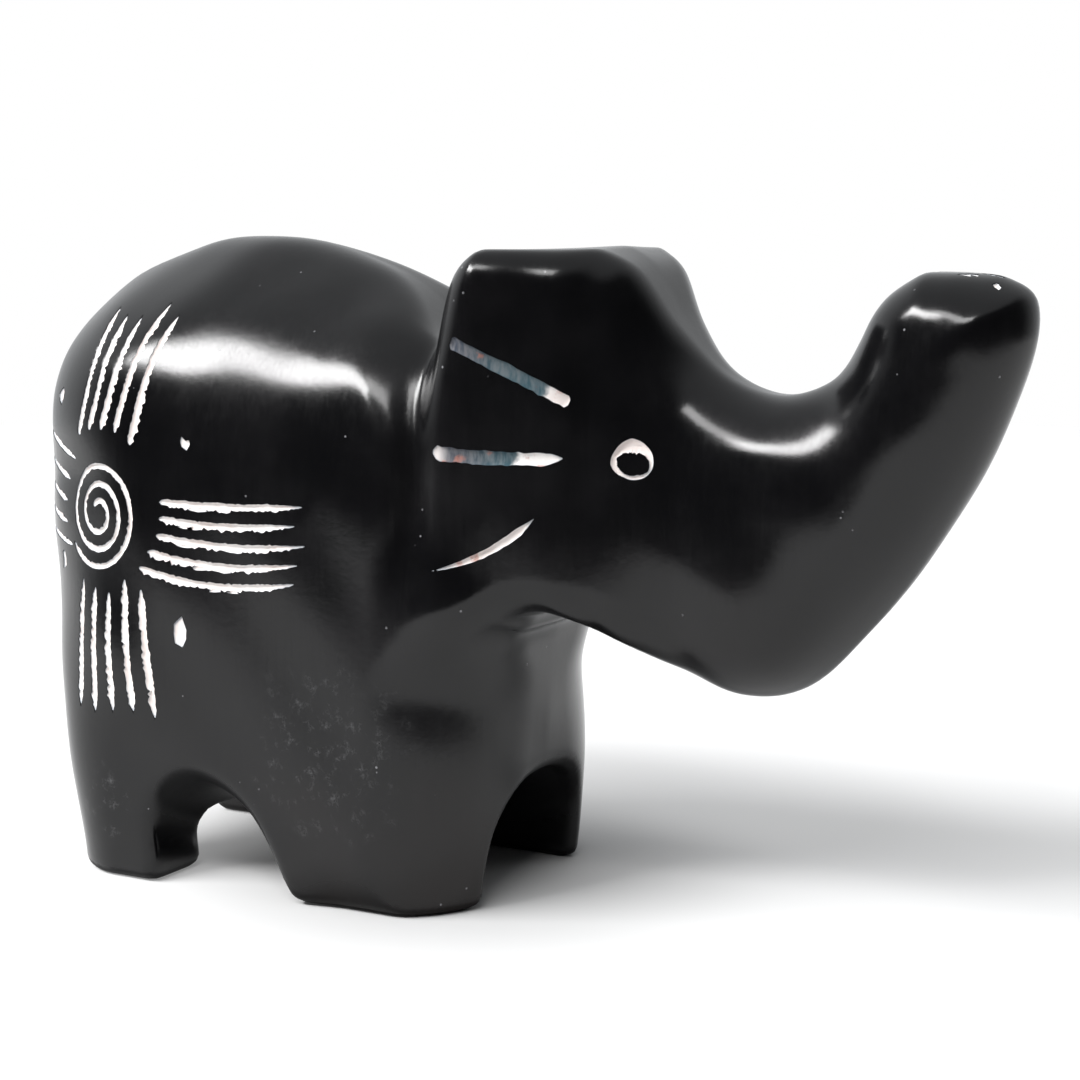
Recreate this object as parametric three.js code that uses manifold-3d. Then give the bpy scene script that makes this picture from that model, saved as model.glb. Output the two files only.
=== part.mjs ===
// A carved soapstone elephant with a raised trunk: a pale stone core, the thin black dyed skin that
// covers it, and the etched marks that cut through the skin and show the stone.
// Millimetres. +X towards the trunk, +Y to the elephant's left, +Z up, standing on z = 0.

import * as THREE from 'three';
import { mergeVertices } from 'three/addons/utils/BufferGeometryUtils.js';
import Module from 'manifold-3d';

const wasm = await Module();
wasm.setup();
const { clamp, degToRad, lerp, mapLinear, smoothstep } = THREE.MathUtils;

// Driving dimensions of the figure
const HALF_WIDTH = 19.4; // body, at the feet
const BACK_TOP = 69.5;
const HEAD_TOP = 68.8;
const EAR_HALF_WIDTH = 17.7;
const SHOULDER_FALL = 0.05; // how far the shoulder sinks for each millimetre towards the head
const HEAD_TAPER = 0.035; // how much narrower the head gets for each millimetre upwards
const ARCH_TOP = 12.9; // arches between the legs, at the outer face
const BELLY = 6.4; // underside of the belly, at the middle
const TUNNEL_HALF_WIDTH = 10.2; // tunnel between the left and right legs
const SQUARENESS = 2.7; // of that tunnel: 2 is round

// The dyed skin
const SKIN = 0.4;
const GAP = 0.3;
const SKIN_EDGE = 0.3; // height of the skin's lower edge round the bare soles

// Meshing
const STEP = 4.0; // grid spacing of the surface
const CURVE_STEPS = 6; // straight pieces in each stretch of an outline
const BELOW_FLOOR = 3.0; // the legs are made this much too long and cut off flat

// Outlines -------------------------------------------------------------------------------------

function curve(points) {
	const spline = new THREE.SplineCurve(points.map(([u, v]) => new THREE.Vector2(u, v)));
	return spline.getPoints((points.length - 1) * CURVE_STEPS);
}

// Head and trunk from the side: rear edge of the ear, flat top, forehead and saddle, tip, chin, throat.
const headOutline = [
	...curve([[2, 29], [1.3, 38], [2.7, 51], [5.6, 64.6], [9.2, HEAD_TOP - 0.3]]),
	...curve([
		[19.3, HEAD_TOP], [22.6, 66.6], [25.8, 61], [30.4, 55.9], [36.3, 54],
		[41.4, 55.6], [44.4, 59.7], [47.4, 64], [51.2, 66.5],
	]),
	...curve([
		[58.4, 66.4], [61.7, 64.2], [61.1, 57.5], [56.4, 46.5], [49.4, 35.4], [41, 25.6],
		[33.6, 23.4], [26, 26.3], [15.5, 32.3], [8, 31], [2, 29],
	]),
];

// Body from the side: rump, domed back, neck, chest.
const bodyOutline = curve([
	[-41, -6], [-42.3, 4], [-45.5, 16], [-49, 30], [-51.6, 43], [-50.3, 54], [-44.1, 65.2],
	[-34, 69], [-23, BACK_TOP], [-12, 67.6], [-2, 62.2], [3, 51], [3.5, 40], [9.8, 31],
	[10, 22], [9.6, 11], [8.2, 1], [7, -6],
]);

// Arch between the front and hind legs, from the side.
const sideArch = curve([
	[-28.4, -6], [-28.6, 2], [-29, 7], [-27.4, 11], [-23, ARCH_TOP], [-17, 10], [-12.6, 3.5], [-8, -6],
]);

// Signed distance from a closed outline to the point (u, v), negative inside.
function distance(outline, u, v) {
	let nearest = Infinity;
	let inside = false;
	outline.forEach((a, i) => {
		const b = outline[(i + 1) % outline.length];
		const ex = b.x - a.x;
		const ey = b.y - a.y;
		const along = ((u - a.x) * ex + (v - a.y) * ey) / Math.max(ex * ex + ey * ey, 1e-12);
		const t = clamp(along, 0, 1);
		nearest = Math.min(nearest, Math.hypot(u - a.x - t * ex, v - a.y - t * ey));
		if ((a.y > v) !== (b.y > v) && u < (ex * (v - a.y)) / ey + a.x) inside = !inside;
	});
	return inside ? -nearest : nearest;
}

// Carving: every shape is a function that is negative inside the stone -------------------------

// What two cuts leave, with the edge between them rounded over reachA and reachB.
function both(a, b, reachA, reachB) {
	const u = a / reachA;
	const v = b / reachB;
	const rounded = Math.hypot(Math.max(1 + u, 0), Math.max(1 + v, 0));
	return (Math.min(-1, Math.max(u, v)) + rounded) * Math.min(reachA, reachB);
}

// Two shapes melted together over a distance k.
function join(a, b, k) {
	const h = Math.max(k - Math.abs(a - b), 0) / k;
	return Math.min(a, b) - (h * h * k) / 4;
}

function cut(a, b, k) {
	return -join(-a, b, k);
}

// Straight lines between [position, value] pairs.
function ramp(t, stops) {
	const next = stops.findIndex(([at]) => t < at);
	if (next === 0) return stops[0][1];
	if (next < 0) return stops[stops.length - 1][1];
	const [a, b] = [stops[next - 1], stops[next]];
	return mapLinear(t, a[0], b[0], a[1], b[1]);
}

function body(x, y, z) {
	// the shoulder bends over at a height that falls a little towards the head
	const width = ramp(z + SHOULDER_FALL * (x + 8), [
		[-4, HALF_WIDTH], [4, HALF_WIDTH], [30, 19], [44, 18.7], [50, 18.2], [54, 17.3],
		[56, 16.3], [59, 14.5], [62, 11.8], [66, 8.2], [72, 6],
	]);
	const high = smoothstep(z, 4, 44);
	const top = smoothstep(z, 42, 58);
	const rear = smoothstep(-x, -2, 28);
	const rump = smoothstep(-x, 22, 46);
	const upper = smoothstep(z, 34, 44);
	const front = smoothstep(x, -16 + 7 * upper, -5 + 3 * upper);
	// over the shoulder the edge is tighter than over the rump, and at the neck it is tightest
	const along = lerp(8 + 18 * rear * high, 9 + 13 * rump, top);
	const across = lerp(8 + 9 * rear * high, 7 + 7 * rump, top);
	const frontAlong = ramp(z, [[2, 12], [24, 12.5], [41, 3.8], [48, 3.8], [60, 6], [66, 7]]);
	const frontAcross = ramp(z, [[2, 13], [24, 16], [41, 4.2], [48, 4.6], [60, 6], [66, 7]]);
	const outline = distance(bodyOutline, x, z);
	return both(outline, y - width, lerp(along, frontAlong, front), lerp(across, frontAcross, front));
}

function neck(x, y, z) {
	return both(Math.max(Math.abs(x - 3) - 8, Math.abs(z - 45) - 14), y - 13.4, 7, 5);
}

// The ear has a flat band along its rear edge, and the sides of the trunk swell a little.
function headAndTrunk(x, y, z) {
	const outline = distance(headOutline, x, z);
	const lean = ramp(z, [[40, 0], [48, 0], [58, 1.2], [66, 3.2]]) * (1 - smoothstep(x, 8, 16));
	const middle = ramp(x - lean, [
		[-2, 14.4], [6.3, EAR_HALF_WIDTH], [10, 16.5], [17, 13.7], [20, 12.1], [24, 10.3], [28, 9.1],
		[40, 8.6], [55, 8.2], [70, 7.6],
	]);
	const swell = smoothstep(x, 16, 30);
	const inset = (0.5 + 2.1 * swell) * clamp(1 + outline / 12, 0, 1) ** 2;
	const width = middle - inset - HEAD_TAPER * (z - 48) * (1 - swell);
	// the top of the trunk's tip has a tighter edge than its front
	const tip = smoothstep(z, 57, 63) * smoothstep(x, 40, 46) * (1 - smoothstep(x, 54, 59));
	const reachAlong = lerp(ramp(x, [[8, 2.4], [26, 5.5], [38, 6], [44, 8], [53, 7]]), 4.6, tip);
	const reachAcross = lerp(ramp(x, [[8, 2.4], [26, 5], [38, 5.5], [44, 7.5], [53, 6]]), 4.6, tip);
	return both(outline, y - width, reachAlong, reachAcross);
}

// The arches are highest at the outer face and sink to the belly in the middle.
function sideTunnel(x, y, z) {
	const top = BELLY + (ARCH_TOP - BELLY) * Math.min(y / HALF_WIDTH, 1) ** 2;
	return distance(sideArch, x, (z * ARCH_TOP) / top);
}

function lengthwiseTunnel(x, y, z) {
	const top = BELLY + (ARCH_TOP - BELLY) * Math.min(Math.abs(x + 16) / 23, 1) ** 2;
	const sum = (y / TUNNEL_HALF_WIDTH) ** SQUARENESS + (Math.max(z, 0) / top) ** SQUARENESS;
	return (sum ** (1 / SQUARENESS) - 1) * Math.min(TUNNEL_HALF_WIDTH, top);
}

function elephant(x, side, z) {
	const y = Math.abs(side);
	const blend = 5 - 2 * smoothstep(z, 30, 40); // the ear's lower edge melts into the chest
	const stone = join(join(body(x, y, z), neck(x, y, z), 3), headAndTrunk(x, y, z), blend);
	const arched = cut(cut(stone, sideTunnel(x, y, z), 1.5), lengthwiseTunnel(x, y, z), 1.5);
	return Math.max(arched, -z - BELOW_FLOOR);
}

// Surface of the carving -----------------------------------------------------------------------

const CORNERS = [0, 1, 2, 3, 4, 5, 6, 7].map((c) => [c & 1, (c >> 1) & 1, (c >> 2) & 1]);

// One vertex in each grid cell that the surface passes through, and one quad across each grid edge
// that it crosses.
function surfaceNet(shape, low, cells) {
	const size = cells.map((n) => n + 1);
	const at = (i, j, k) => (k * size[1] + j) * size[0] + i;
	const place = (i, j, k) => [low.x + i * STEP, low.y + j * STEP, low.z + k * STEP];
	const value = new Float64Array(size[0] * size[1] * size[2]);
	for (let k = 0; k < size[2]; k++)
		for (let j = 0; j < size[1]; j++)
			for (let i = 0; i < size[0]; i++) value[at(i, j, k)] = shape(...place(i, j, k));

	const positions = [];
	const vertexOf = new Map();
	for (let k = 0; k < cells[2]; k++)
		for (let j = 0; j < cells[1]; j++)
			for (let i = 0; i < cells[0]; i++) {
				const crossing = cellCrossing((c) => value[at(i + c[0], j + c[1], k + c[2])]);
				if (!crossing) continue;
				vertexOf.set(at(i, j, k), positions.length);
				positions.push(new THREE.Vector3(...place(i + crossing.x, j + crossing.y, k + crossing.z)));
			}

	const triangles = [];
	const unit = [at(1, 0, 0) - at(0, 0, 0), at(0, 1, 0) - at(0, 0, 0), at(0, 0, 1) - at(0, 0, 0)];
	for (const [cell] of vertexOf)
		for (let axis = 0; axis < 3; axis++) {
			const [from, to] = [value[cell] < 0, value[cell + unit[axis]] < 0];
			if (from === to) continue;
			const [u, v] = [unit[(axis + 1) % 3], unit[(axis + 2) % 3]];
			const ring = [cell - u - v, cell - v, cell, cell - u].map((c) => vertexOf.get(c));
			if (ring.includes(undefined)) continue;
			if (to) ring.reverse();
			triangles.push(ring[0], ring[1], ring[2], ring[0], ring[2], ring[3]);
		}
	return { positions, triangles };
}

// Mean of the points where the surface crosses a cell's edges, in cell units, or null.
function cellCrossing(valueAt) {
	const sum = new THREE.Vector3();
	let count = 0;
	for (const c of CORNERS)
		for (let axis = 0; axis < 3; axis++) {
			if (c[axis]) continue;
			const d = c.map((n, q) => (q === axis ? 1 : n));
			const [a, b] = [valueAt(c), valueAt(d)];
			if ((a < 0) === (b < 0)) continue;
			const point = new THREE.Vector3(...c);
			point.setComponent(axis, a / (a - b));
			sum.add(point);
			count++;
		}
	return count ? sum.divideScalar(count) : null;
}

function gradient(shape, p) {
	const e = 0.05;
	return new THREE.Vector3(
		shape(p.x + e, p.y, p.z) - shape(p.x - e, p.y, p.z),
		shape(p.x, p.y + e, p.z) - shape(p.x, p.y - e, p.z),
		shape(p.x, p.y, p.z + e) - shape(p.x, p.y, p.z - e),
	).divideScalar(2 * e);
}

// Moves each vertex onto the surface itself, never by more than half a grid step.
function settle(net, shape) {
	for (const p of net.positions)
		for (let round = 0; round < 2; round++) {
			const slope = gradient(shape, p);
			const move = slope.multiplyScalar(-shape(p.x, p.y, p.z) / Math.max(slope.lengthSq(), 0.2));
			p.add(move.clampLength(0, STEP / 4));
		}
}

function vertexNormals(net) {
	const normals = net.positions.map(() => new THREE.Vector3());
	for (let t = 0; t < net.triangles.length; t += 3) {
		const ids = net.triangles.slice(t, t + 3);
		const [a, b, c] = ids.map((i) => net.positions[i]);
		const face = b.clone().sub(a).cross(c.clone().sub(a));
		ids.forEach((i) => normals[i].add(face));
	}
	return normals.map((n) => n.normalize());
}

// Solids ---------------------------------------------------------------------------------------

function solid(geometry) {
	const bare = geometry.index ? geometry.clone() : geometry;
	bare.deleteAttribute('normal');
	bare.deleteAttribute('uv');
	const merged = mergeVertices(bare, 1e-4);
	return new wasm.Manifold(
		new wasm.Mesh({
			numProp: 3,
			vertProperties: new Float32Array(merged.attributes.position.array),
			triVerts: new Uint32Array(merged.index.array),
		}),
	);
}

function toGeometry(manifold) {
	const mesh = manifold.getMesh();
	const geometry = new THREE.BufferGeometry();
	geometry.setAttribute('position', new THREE.BufferAttribute(mesh.vertProperties, 3));
	geometry.setIndex(new THREE.BufferAttribute(mesh.triVerts, 1));
	geometry.computeVertexNormals();
	return geometry;
}

const low = new THREE.Vector3(-56, -5.5 * STEP, -BELOW_FLOOR - STEP / 2);
const net = surfaceNet(elephant, low, [31, 11, 20]);
settle(net, elephant);
const netNormals = vertexNormals(net);

// The carving, with its surface moved in by a depth.
function carving(depth) {
	const geometry = new THREE.BufferGeometry();
	const moved = net.positions.map((p, i) => p.clone().addScaledVector(netNormals[i], -depth));
	geometry.setFromPoints(moved);
	geometry.setIndex(net.triangles);
	return solid(geometry);
}

// Everything below a height.
function ground(height) {
	const block = new THREE.BoxGeometry(200, 100, 20);
	block.translate(0, 0, height - 10);
	return solid(block);
}

// Marks ----------------------------------------------------------------------------------------
// A mark is a flat shape pushed through the skin. The flank's marks face the rear quarter; those of
// the ear and the eye face straight out. Both sides carry the same marks.

const MARK_DEPTH = 30;
const RUMP_CENTRE = new THREE.Vector3(-36, -17.4, 40.3);
const RUMP_TURN = degToRad(-18);
const RAY_WIDTH = 0.7;
const SPIRAL_WIDTH = 0.6;

function pushThrough(shape, origin, turn) {
	const prism = new THREE.ExtrudeGeometry(shape, { depth: MARK_DEPTH, bevelEnabled: false });
	prism.translate(0, 0, -MARK_DEPTH / 2);
	prism.rotateX(Math.PI / 2);
	prism.rotateZ(turn);
	prism.translate(origin.x, origin.y, origin.z);
	return prism;
}

// A stroke of a given width from one point to another, bowed sideways.
function stroke(from, to, width, bow = 0) {
	const [a, b] = [new THREE.Vector2(...from), new THREE.Vector2(...to)];
	const across = new THREE.Vector2(a.y - b.y, b.x - a.x).normalize();
	const middle = a.clone().lerp(b, 0.5).addScaledVector(across, 2 * bow);
	const line = new THREE.QuadraticBezierCurve(a, middle, b);
	const side = (sign) =>
		[0, ...(bow ? [0.5] : []), 1].map((t) => line.getPoint(t).addScaledVector(across, (sign * width) / 2));
	return new THREE.Shape([...side(-1), ...side(1).reverse()]);
}

// The rays fan out from the spiral in four groups, and start on a clear ring round it.
const CLEAR_RING = 8.9;
const RAYS_EACH_WAY = 5;
// start: the least distance at which a ray begins; near and far: the first ray's place across the fan
// and the spacing, where the rays begin and where they end.
const FANS = [
	{ turn: 90, start: 7.5, end: 21.5, near: [4, -2.2], far: [5, -2.7] },
	{ turn: 0, start: 7, end: 26.5, near: [1.5, -1.8], far: [2, -2] },
	{ turn: -90, start: 8, end: 22, near: [-3, 2.4], far: [-2.5, 2.7] },
	{ turn: 180, start: 6, end: 17, near: [-5, 2.4], far: [-9, 3.1] },
];

function rayShapes() {
	const centre = new THREE.Vector2();
	return FANS.flatMap(({ turn, start, end, near, far }) =>
		Array.from({ length: RAYS_EACH_WAY }, (_, i) => {
			const [from, to] = [near, far].map(([first, spacing]) => first + spacing * i);
			const onRing = Math.max(start, Math.sqrt(CLEAR_RING ** 2 - from ** 2));
			const a = new THREE.Vector2(onRing, from).rotateAround(centre, degToRad(turn));
			const b = new THREE.Vector2(end, to).rotateAround(centre, degToRad(turn));
			return stroke(a.toArray(), b.toArray(), RAY_WIDTH);
		}),
	);
}

function spiralShape() {
	const turns = 2.75;
	const steps = 20;
	const edge = (shift) =>
		Array.from({ length: steps + 1 }, (_, i) => {
			const t = i / steps;
			const angle = 2.6 - t * turns * 2 * Math.PI;
			const radius = 0.9 + 5.2 * t + shift;
			return new THREE.Vector2(radius * Math.cos(angle), radius * Math.sin(angle));
		});
	return new THREE.Shape([...edge(-SPIRAL_WIDTH / 2), ...edge(SPIRAL_WIDTH / 2).reverse()]);
}

function chipShape(x, y) {
	const corners = [[-0.6, 0.4], [0.1, -0.9], [0.6, -0.2], [0.3, 0.6]];
	return new THREE.Shape(corners.map(([u, v]) => new THREE.Vector2(x + u, y + v)));
}

const CHIPS = [[-10, 12], [12, 8], [-8, -7], [11, -12]];

const EAR_MARKS = [
	stroke([8, 59], [18.5, 53.5], 1.5),
	stroke([5.5, 48.5], [18, 48], 1.4, -0.3),
	stroke([6, 37], [15, 42], 0.9, -0.9),
];

const EYE_CENTRE = new THREE.Vector2(24, 48);
const EYE_RING = [
	[-2, 0], [-1.2, 1.5], [0, 2.2], [1.6, 1.3], [2.2, 0], [1.8, -1.3], [0.6, -2], [-1.2, -1.3],
];
const PUPIL = [[-0.8, 0], [0.2, 0.6], [1.3, 0.2], [1.5, -0.8], [0.8, -1.3], [-0.3, -1]];

function eyeShape(points) {
	return new THREE.Shape(points.map(([u, v]) => EYE_CENTRE.clone().add(new THREE.Vector2(u, v))));
}

const SIDE_ORIGIN = new THREE.Vector3(0, -EAR_HALF_WIDTH, 0);

function onFlank(shape) {
	return pushThrough(shape, RUMP_CENTRE, RUMP_TURN);
}

function onHead(shape) {
	return pushThrough(shape, SIDE_ORIGIN, 0);
}

// The same prism on the elephant's other side, its faces turned back outwards.
function mirrored(prism) {
	const other = mergeVertices(prism.clone().deleteAttribute('normal').deleteAttribute('uv'), 1e-4);
	other.scale(1, -1, 1);
	other.index.array.reverse();
	return other;
}

const markPrisms = [
	...[...rayShapes(), spiralShape(), ...CHIPS.map((c) => chipShape(...c))].map(onFlank),
	...[...EAR_MARKS, eyeShape(EYE_RING)].map(onHead),
];

// Parts ----------------------------------------------------------------------------------------

function soapstoneCore() {
	return carving(SKIN + GAP).subtract(ground(0));
}

const skinShell = carving(0).subtract(carving(SKIN)).subtract(ground(SKIN_EDGE));

function dyedSkin() {
	const cutters = markPrisms.flatMap((prism) => [solid(prism), solid(mirrored(prism))]);
	return cutters.reduce((skin, cutter) => skin.subtract(cutter), skinShell);
}

function pupil(side) {
	const prism = onHead(eyeShape(PUPIL));
	return skinShell.intersect(solid(side === 'right' ? prism : mirrored(prism)));
}

const stone = new THREE.MeshStandardMaterial({ color: 0xd9cfc8, roughness: 0.85, metalness: 0 });
const dye = new THREE.MeshStandardMaterial({ color: 0x2b2b2d, roughness: 0.28, metalness: 0 });
stone.name = 'bare_soapstone';
dye.name = 'black_dye';

function part(name, manifold, material) {
	const mesh = new THREE.Mesh(toGeometry(manifold), material);
	mesh.name = name;
	return mesh;
}

const figure = new THREE.Group();
figure.name = 'carved_elephant';
figure.add(
	part('soapstone_core', soapstoneCore(), stone),
	part('dyed_skin', dyedSkin(), dye),
	part('right_pupil', pupil('right'), dye),
	part('left_pupil', pupil('left'), dye),
);

// The origin is under the middle of the figure.
const middle = new THREE.Box3().setFromObject(figure).getCenter(new THREE.Vector3());
figure.children.forEach((mesh) => mesh.position.set(-middle.x, 0, 0));

export default figure;
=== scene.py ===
"""A carved soapstone elephant: pale stone under a thin black dyed skin, with marks cut through the dye."""

import math

import bmesh
import bpy
import numpy as np
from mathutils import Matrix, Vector
from mathutils.bvhtree import BVHTree


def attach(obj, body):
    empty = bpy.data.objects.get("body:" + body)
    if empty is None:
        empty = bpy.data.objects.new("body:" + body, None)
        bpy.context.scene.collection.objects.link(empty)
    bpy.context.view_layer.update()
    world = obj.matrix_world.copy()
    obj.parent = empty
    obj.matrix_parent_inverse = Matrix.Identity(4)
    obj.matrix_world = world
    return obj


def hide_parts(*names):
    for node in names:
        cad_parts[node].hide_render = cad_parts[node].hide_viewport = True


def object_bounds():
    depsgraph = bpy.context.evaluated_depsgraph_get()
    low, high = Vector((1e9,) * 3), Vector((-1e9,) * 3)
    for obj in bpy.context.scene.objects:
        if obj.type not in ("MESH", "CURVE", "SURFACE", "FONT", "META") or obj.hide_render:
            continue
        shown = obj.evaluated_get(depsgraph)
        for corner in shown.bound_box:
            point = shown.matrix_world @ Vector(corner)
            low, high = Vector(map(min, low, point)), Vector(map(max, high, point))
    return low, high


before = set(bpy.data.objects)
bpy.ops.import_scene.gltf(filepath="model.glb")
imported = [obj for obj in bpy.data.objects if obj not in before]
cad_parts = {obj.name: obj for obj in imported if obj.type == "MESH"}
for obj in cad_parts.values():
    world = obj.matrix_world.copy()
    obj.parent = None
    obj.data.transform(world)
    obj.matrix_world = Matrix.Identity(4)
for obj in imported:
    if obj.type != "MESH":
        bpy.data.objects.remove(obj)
cad_low, cad_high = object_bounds()

MM = 0.001
RNG = np.random.default_rng(7)

# Driving dimensions, in millimetres. The carving's own x runs from the rump to the trunk.
HALF_WIDTH = 19.4
BACK_TOP = 69.5
HEAD_TOP = 68.8
EAR_HALF_WIDTH = 17.7
SHOULDER_FALL = 0.05  # how far the shoulder sinks for each millimetre towards the head
HEAD_TAPER = 0.035  # how much narrower the head gets for each millimetre upwards
CREASE_X, CREASE_DEPTH, CREASE_WIDTH = 19.6, 0.4, 1.7  # the shallow crease between ear and cheek
TIP_REACH = 4.6  # rounding of the top of the trunk's tip
RUMP_X = -51.6
ARCH_TOP = 12.9
BELLY = 6.4
TUNNEL_HALF_WIDTH = 10.2
SQUARENESS = 2.7  # of the tunnel between the left and right legs: 2 is round
SOLE_ROUNDING = 1.2
MIDDLE_SOFTNESS = 0.2  # over this distance the two sides run into each other
DYE = 0.08  # how deep the dye goes
STEP = 0.62  # grid spacing of the surface
MAP_STEP = 0.35

# The carving's x in the frame: its rump is where the CAD box begins.
SHIFT = cad_low.x / MM - RUMP_X


# Outlines ---------------------------------------------------------------------------------------


def curve(points, steps=14):
    """A Catmull-Rom line through the points."""
    p = np.array(points, float)
    p = np.vstack([p[:1], p, p[-1:]])
    t = np.arange(steps)[:, None] / steps
    parts = []
    for a, b, c, d in zip(p, p[1:], p[2:], p[3:]):
        out, back = (c - a) / 2, (d - b) / 2
        cubic, square = 2 * b - 2 * c + out + back, 3 * c - 3 * b - 2 * out - back
        parts.append(cubic * t**3 + square * t**2 + out * t + b)
    return np.vstack([*parts, p[-1:]])


class Outline:
    """Distance from a closed outline, negative inside, kept on a fine grid and slightly softened."""

    low = np.array([-62.0, -14.0])
    size = np.array([132.0, 94.0])

    def __init__(self, points):
        count = (self.size / MAP_STEP).astype(int)
        u, v = np.meshgrid(*(self.low[k] + MAP_STEP * np.arange(count[k]) for k in (0, 1)), indexing="ij")
        nearest = np.full(u.shape, 1e9)
        inside = np.zeros(u.shape, bool)
        for (ax, ay), (bx, by) in zip(points, np.roll(points, -1, 0)):
            ex, ey = bx - ax, by - ay
            t = np.clip(((u - ax) * ex + (v - ay) * ey) / max(ex * ex + ey * ey, 1e-12), 0, 1)
            nearest = np.minimum(nearest, (u - ax - t * ex) ** 2 + (v - ay - t * ey) ** 2)
            if ay != by:
                inside ^= ((ay > v) != (by > v)) & (u < ex * (v - ay) / (by - ay) + ax)
        grid = np.where(inside, -1, 1) * np.sqrt(nearest)
        for _ in range(3):
            for axis in (0, 1):
                ends = np.take(grid, [0], axis), np.take(grid, [-1], axis)
                wide = np.concatenate([ends[0], grid, ends[1]], axis)
                n = grid.shape[axis]
                before, after = (np.take(wide, range(k, k + n), axis) for k in (0, 2))
                grid = (before + 2 * grid + after) / 4
        self.grid = grid

    def __call__(self, u, v):
        a = np.clip((u - self.low[0]) / MAP_STEP, 0, self.grid.shape[0] - 1.001)
        b = np.clip((v - self.low[1]) / MAP_STEP, 0, self.grid.shape[1] - 1.001)
        i, j = a.astype(int), b.astype(int)
        a, b = a - i, b - j
        g = self.grid
        near = g[i, j] * (1 - a) + g[i + 1, j] * a
        far = g[i, j + 1] * (1 - a) + g[i + 1, j + 1] * a
        return near * (1 - b) + far * b


# Head and trunk from the side: rear edge of the ear, flat top, forehead and saddle, tip, chin, throat.
HEAD = Outline(
    np.vstack(
        [
            curve([(2, 29), (1.3, 38), (2.7, 51), (5.6, 64.6), (9.2, HEAD_TOP - 0.3)]),
            curve(
                [
                    (19.3, HEAD_TOP), (22.6, 66.6), (25.8, 61), (30.4, 55.9), (36.3, 54),
                    (41.4, 55.6), (44.4, 59.7), (47.4, 64), (51.2, 66.5),
                ]
            ),
            curve(
                [
                    (58.4, 66.4), (61.7, 64.2), (61.1, 57.5), (56.4, 46.5), (49.4, 35.4), (41, 25.6),
                    (33.6, 23.4), (26, 26.3), (15.5, 32.3), (8, 31), (2, 29),
                ]
            ),
        ]
    )
)

# Body from the side: rump, domed back, neck, chest.
BODY = Outline(
    curve(
        [
            (-41, -6), (-42.3, 4), (-45.4, 16), (-49.2, 30.5), (-51.1, 37), (RUMP_X, 43),
            (-50.3, 54), (-44.1, 65.2),
            (-34, 69), (-23, BACK_TOP), (-12, 67.6), (-2, 62.2), (3, 51), (3.5, 40), (9.8, 31),
            (10, 22), (9.6, 11), (8.2, 1), (7, -6),
        ]
    )
)

# Arch between the front and hind legs, from the side.
SIDE_ARCH = Outline(
    curve(
        [
            (-28.4, -6), (-28.6, 2), (-29, 7), (-27.4, 11), (-23, ARCH_TOP), (-17, 10),
            (-12.6, 3.5), (-8, -6),
        ]
    )
)


# Carving: each shape is a function that is negative inside the stone ------------------------------


def both(a, b, reach_a, reach_b):
    """What two cuts leave, with the edge between them rounded over the two reaches."""
    u, v = a / reach_a, b / reach_b
    rounded = np.hypot(np.maximum(1 + u, 0), np.maximum(1 + v, 0))
    return (np.minimum(-1, np.maximum(u, v)) + rounded) * np.minimum(reach_a, reach_b)


def join(a, b, k):
    """Two shapes melted together over a distance k."""
    h = np.maximum(k - np.abs(a - b), 0) / k
    return np.minimum(a, b) - h * h * k / 4


def cut(a, b, k):
    return -join(-a, b, k)


def ramp(t, stops, soft=2.5):
    """Straight lines between (position, value) pairs, with their corners softened."""
    at, value = zip(*stops)
    grain = 0.25
    dense = np.arange(at[0] - 3 * soft, at[-1] + 3 * soft, grain)
    half = int(2 * soft / grain)
    weights = np.exp(-0.5 * (np.arange(-half, half + 1) * grain * 1.6 / soft) ** 2)
    padded = np.pad(np.interp(dense, at, value), half, mode="edge")
    return np.interp(t, dense, np.convolve(padded, weights / weights.sum(), "valid"))


def smoothstep(t, low, high):
    t = np.clip((t - low) / (high - low), 0, 1)
    return t * t * (3 - 2 * t)


def toward(start, end, share):
    return start + (end - start) * share


def body(x, y, z):
    # the shoulder bends over at a height that falls a little towards the head
    width = ramp(
        z + SHOULDER_FALL * (x + 8),
        [
            (-4, HALF_WIDTH), (4, HALF_WIDTH), (30, 19), (44, 18.7), (50, 18.2), (54, 17.3),
            (56, 16.3), (59, 14.5), (62, 11.8), (66, 8.2), (72, 6),
        ],
    )
    high, top, rear = smoothstep(z, 4, 44), smoothstep(z, 42, 58), smoothstep(-x, -2, 28)
    reach_along = 8 + 18 * rear * high
    reach_across = 8 + 9 * rear * high
    # over the shoulder the edge is tighter than over the rump
    rump = smoothstep(-x, 22, 46)
    reach_along = toward(reach_along, 9 + 13 * rump, top)
    reach_across = toward(reach_across, 7 + 7 * rump, top)
    # the front edge: round at the chest, sharper at the neck, round again over the shoulder
    upper = smoothstep(z, 34, 44)
    front = smoothstep(x, -16 + 7 * upper, -5 + 3 * upper)
    front_along = ramp(z, [(2, 12), (24, 12.5), (41, 3.8), (48, 3.8), (60, 6), (66, 7)])
    front_across = ramp(z, [(2, 13), (24, 16), (41, 4.2), (48, 4.6), (60, 6), (66, 7)])
    reach_along = toward(reach_along, front_along, front)
    reach_across = toward(reach_across, front_across, front)
    return both(BODY(x, z), y - width, reach_along, reach_across)


def neck(x, y, z):
    return both(np.maximum(np.abs(x - 3) - 8, np.abs(z - 45) - 14), y - 13.4, 7, 5)


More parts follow.
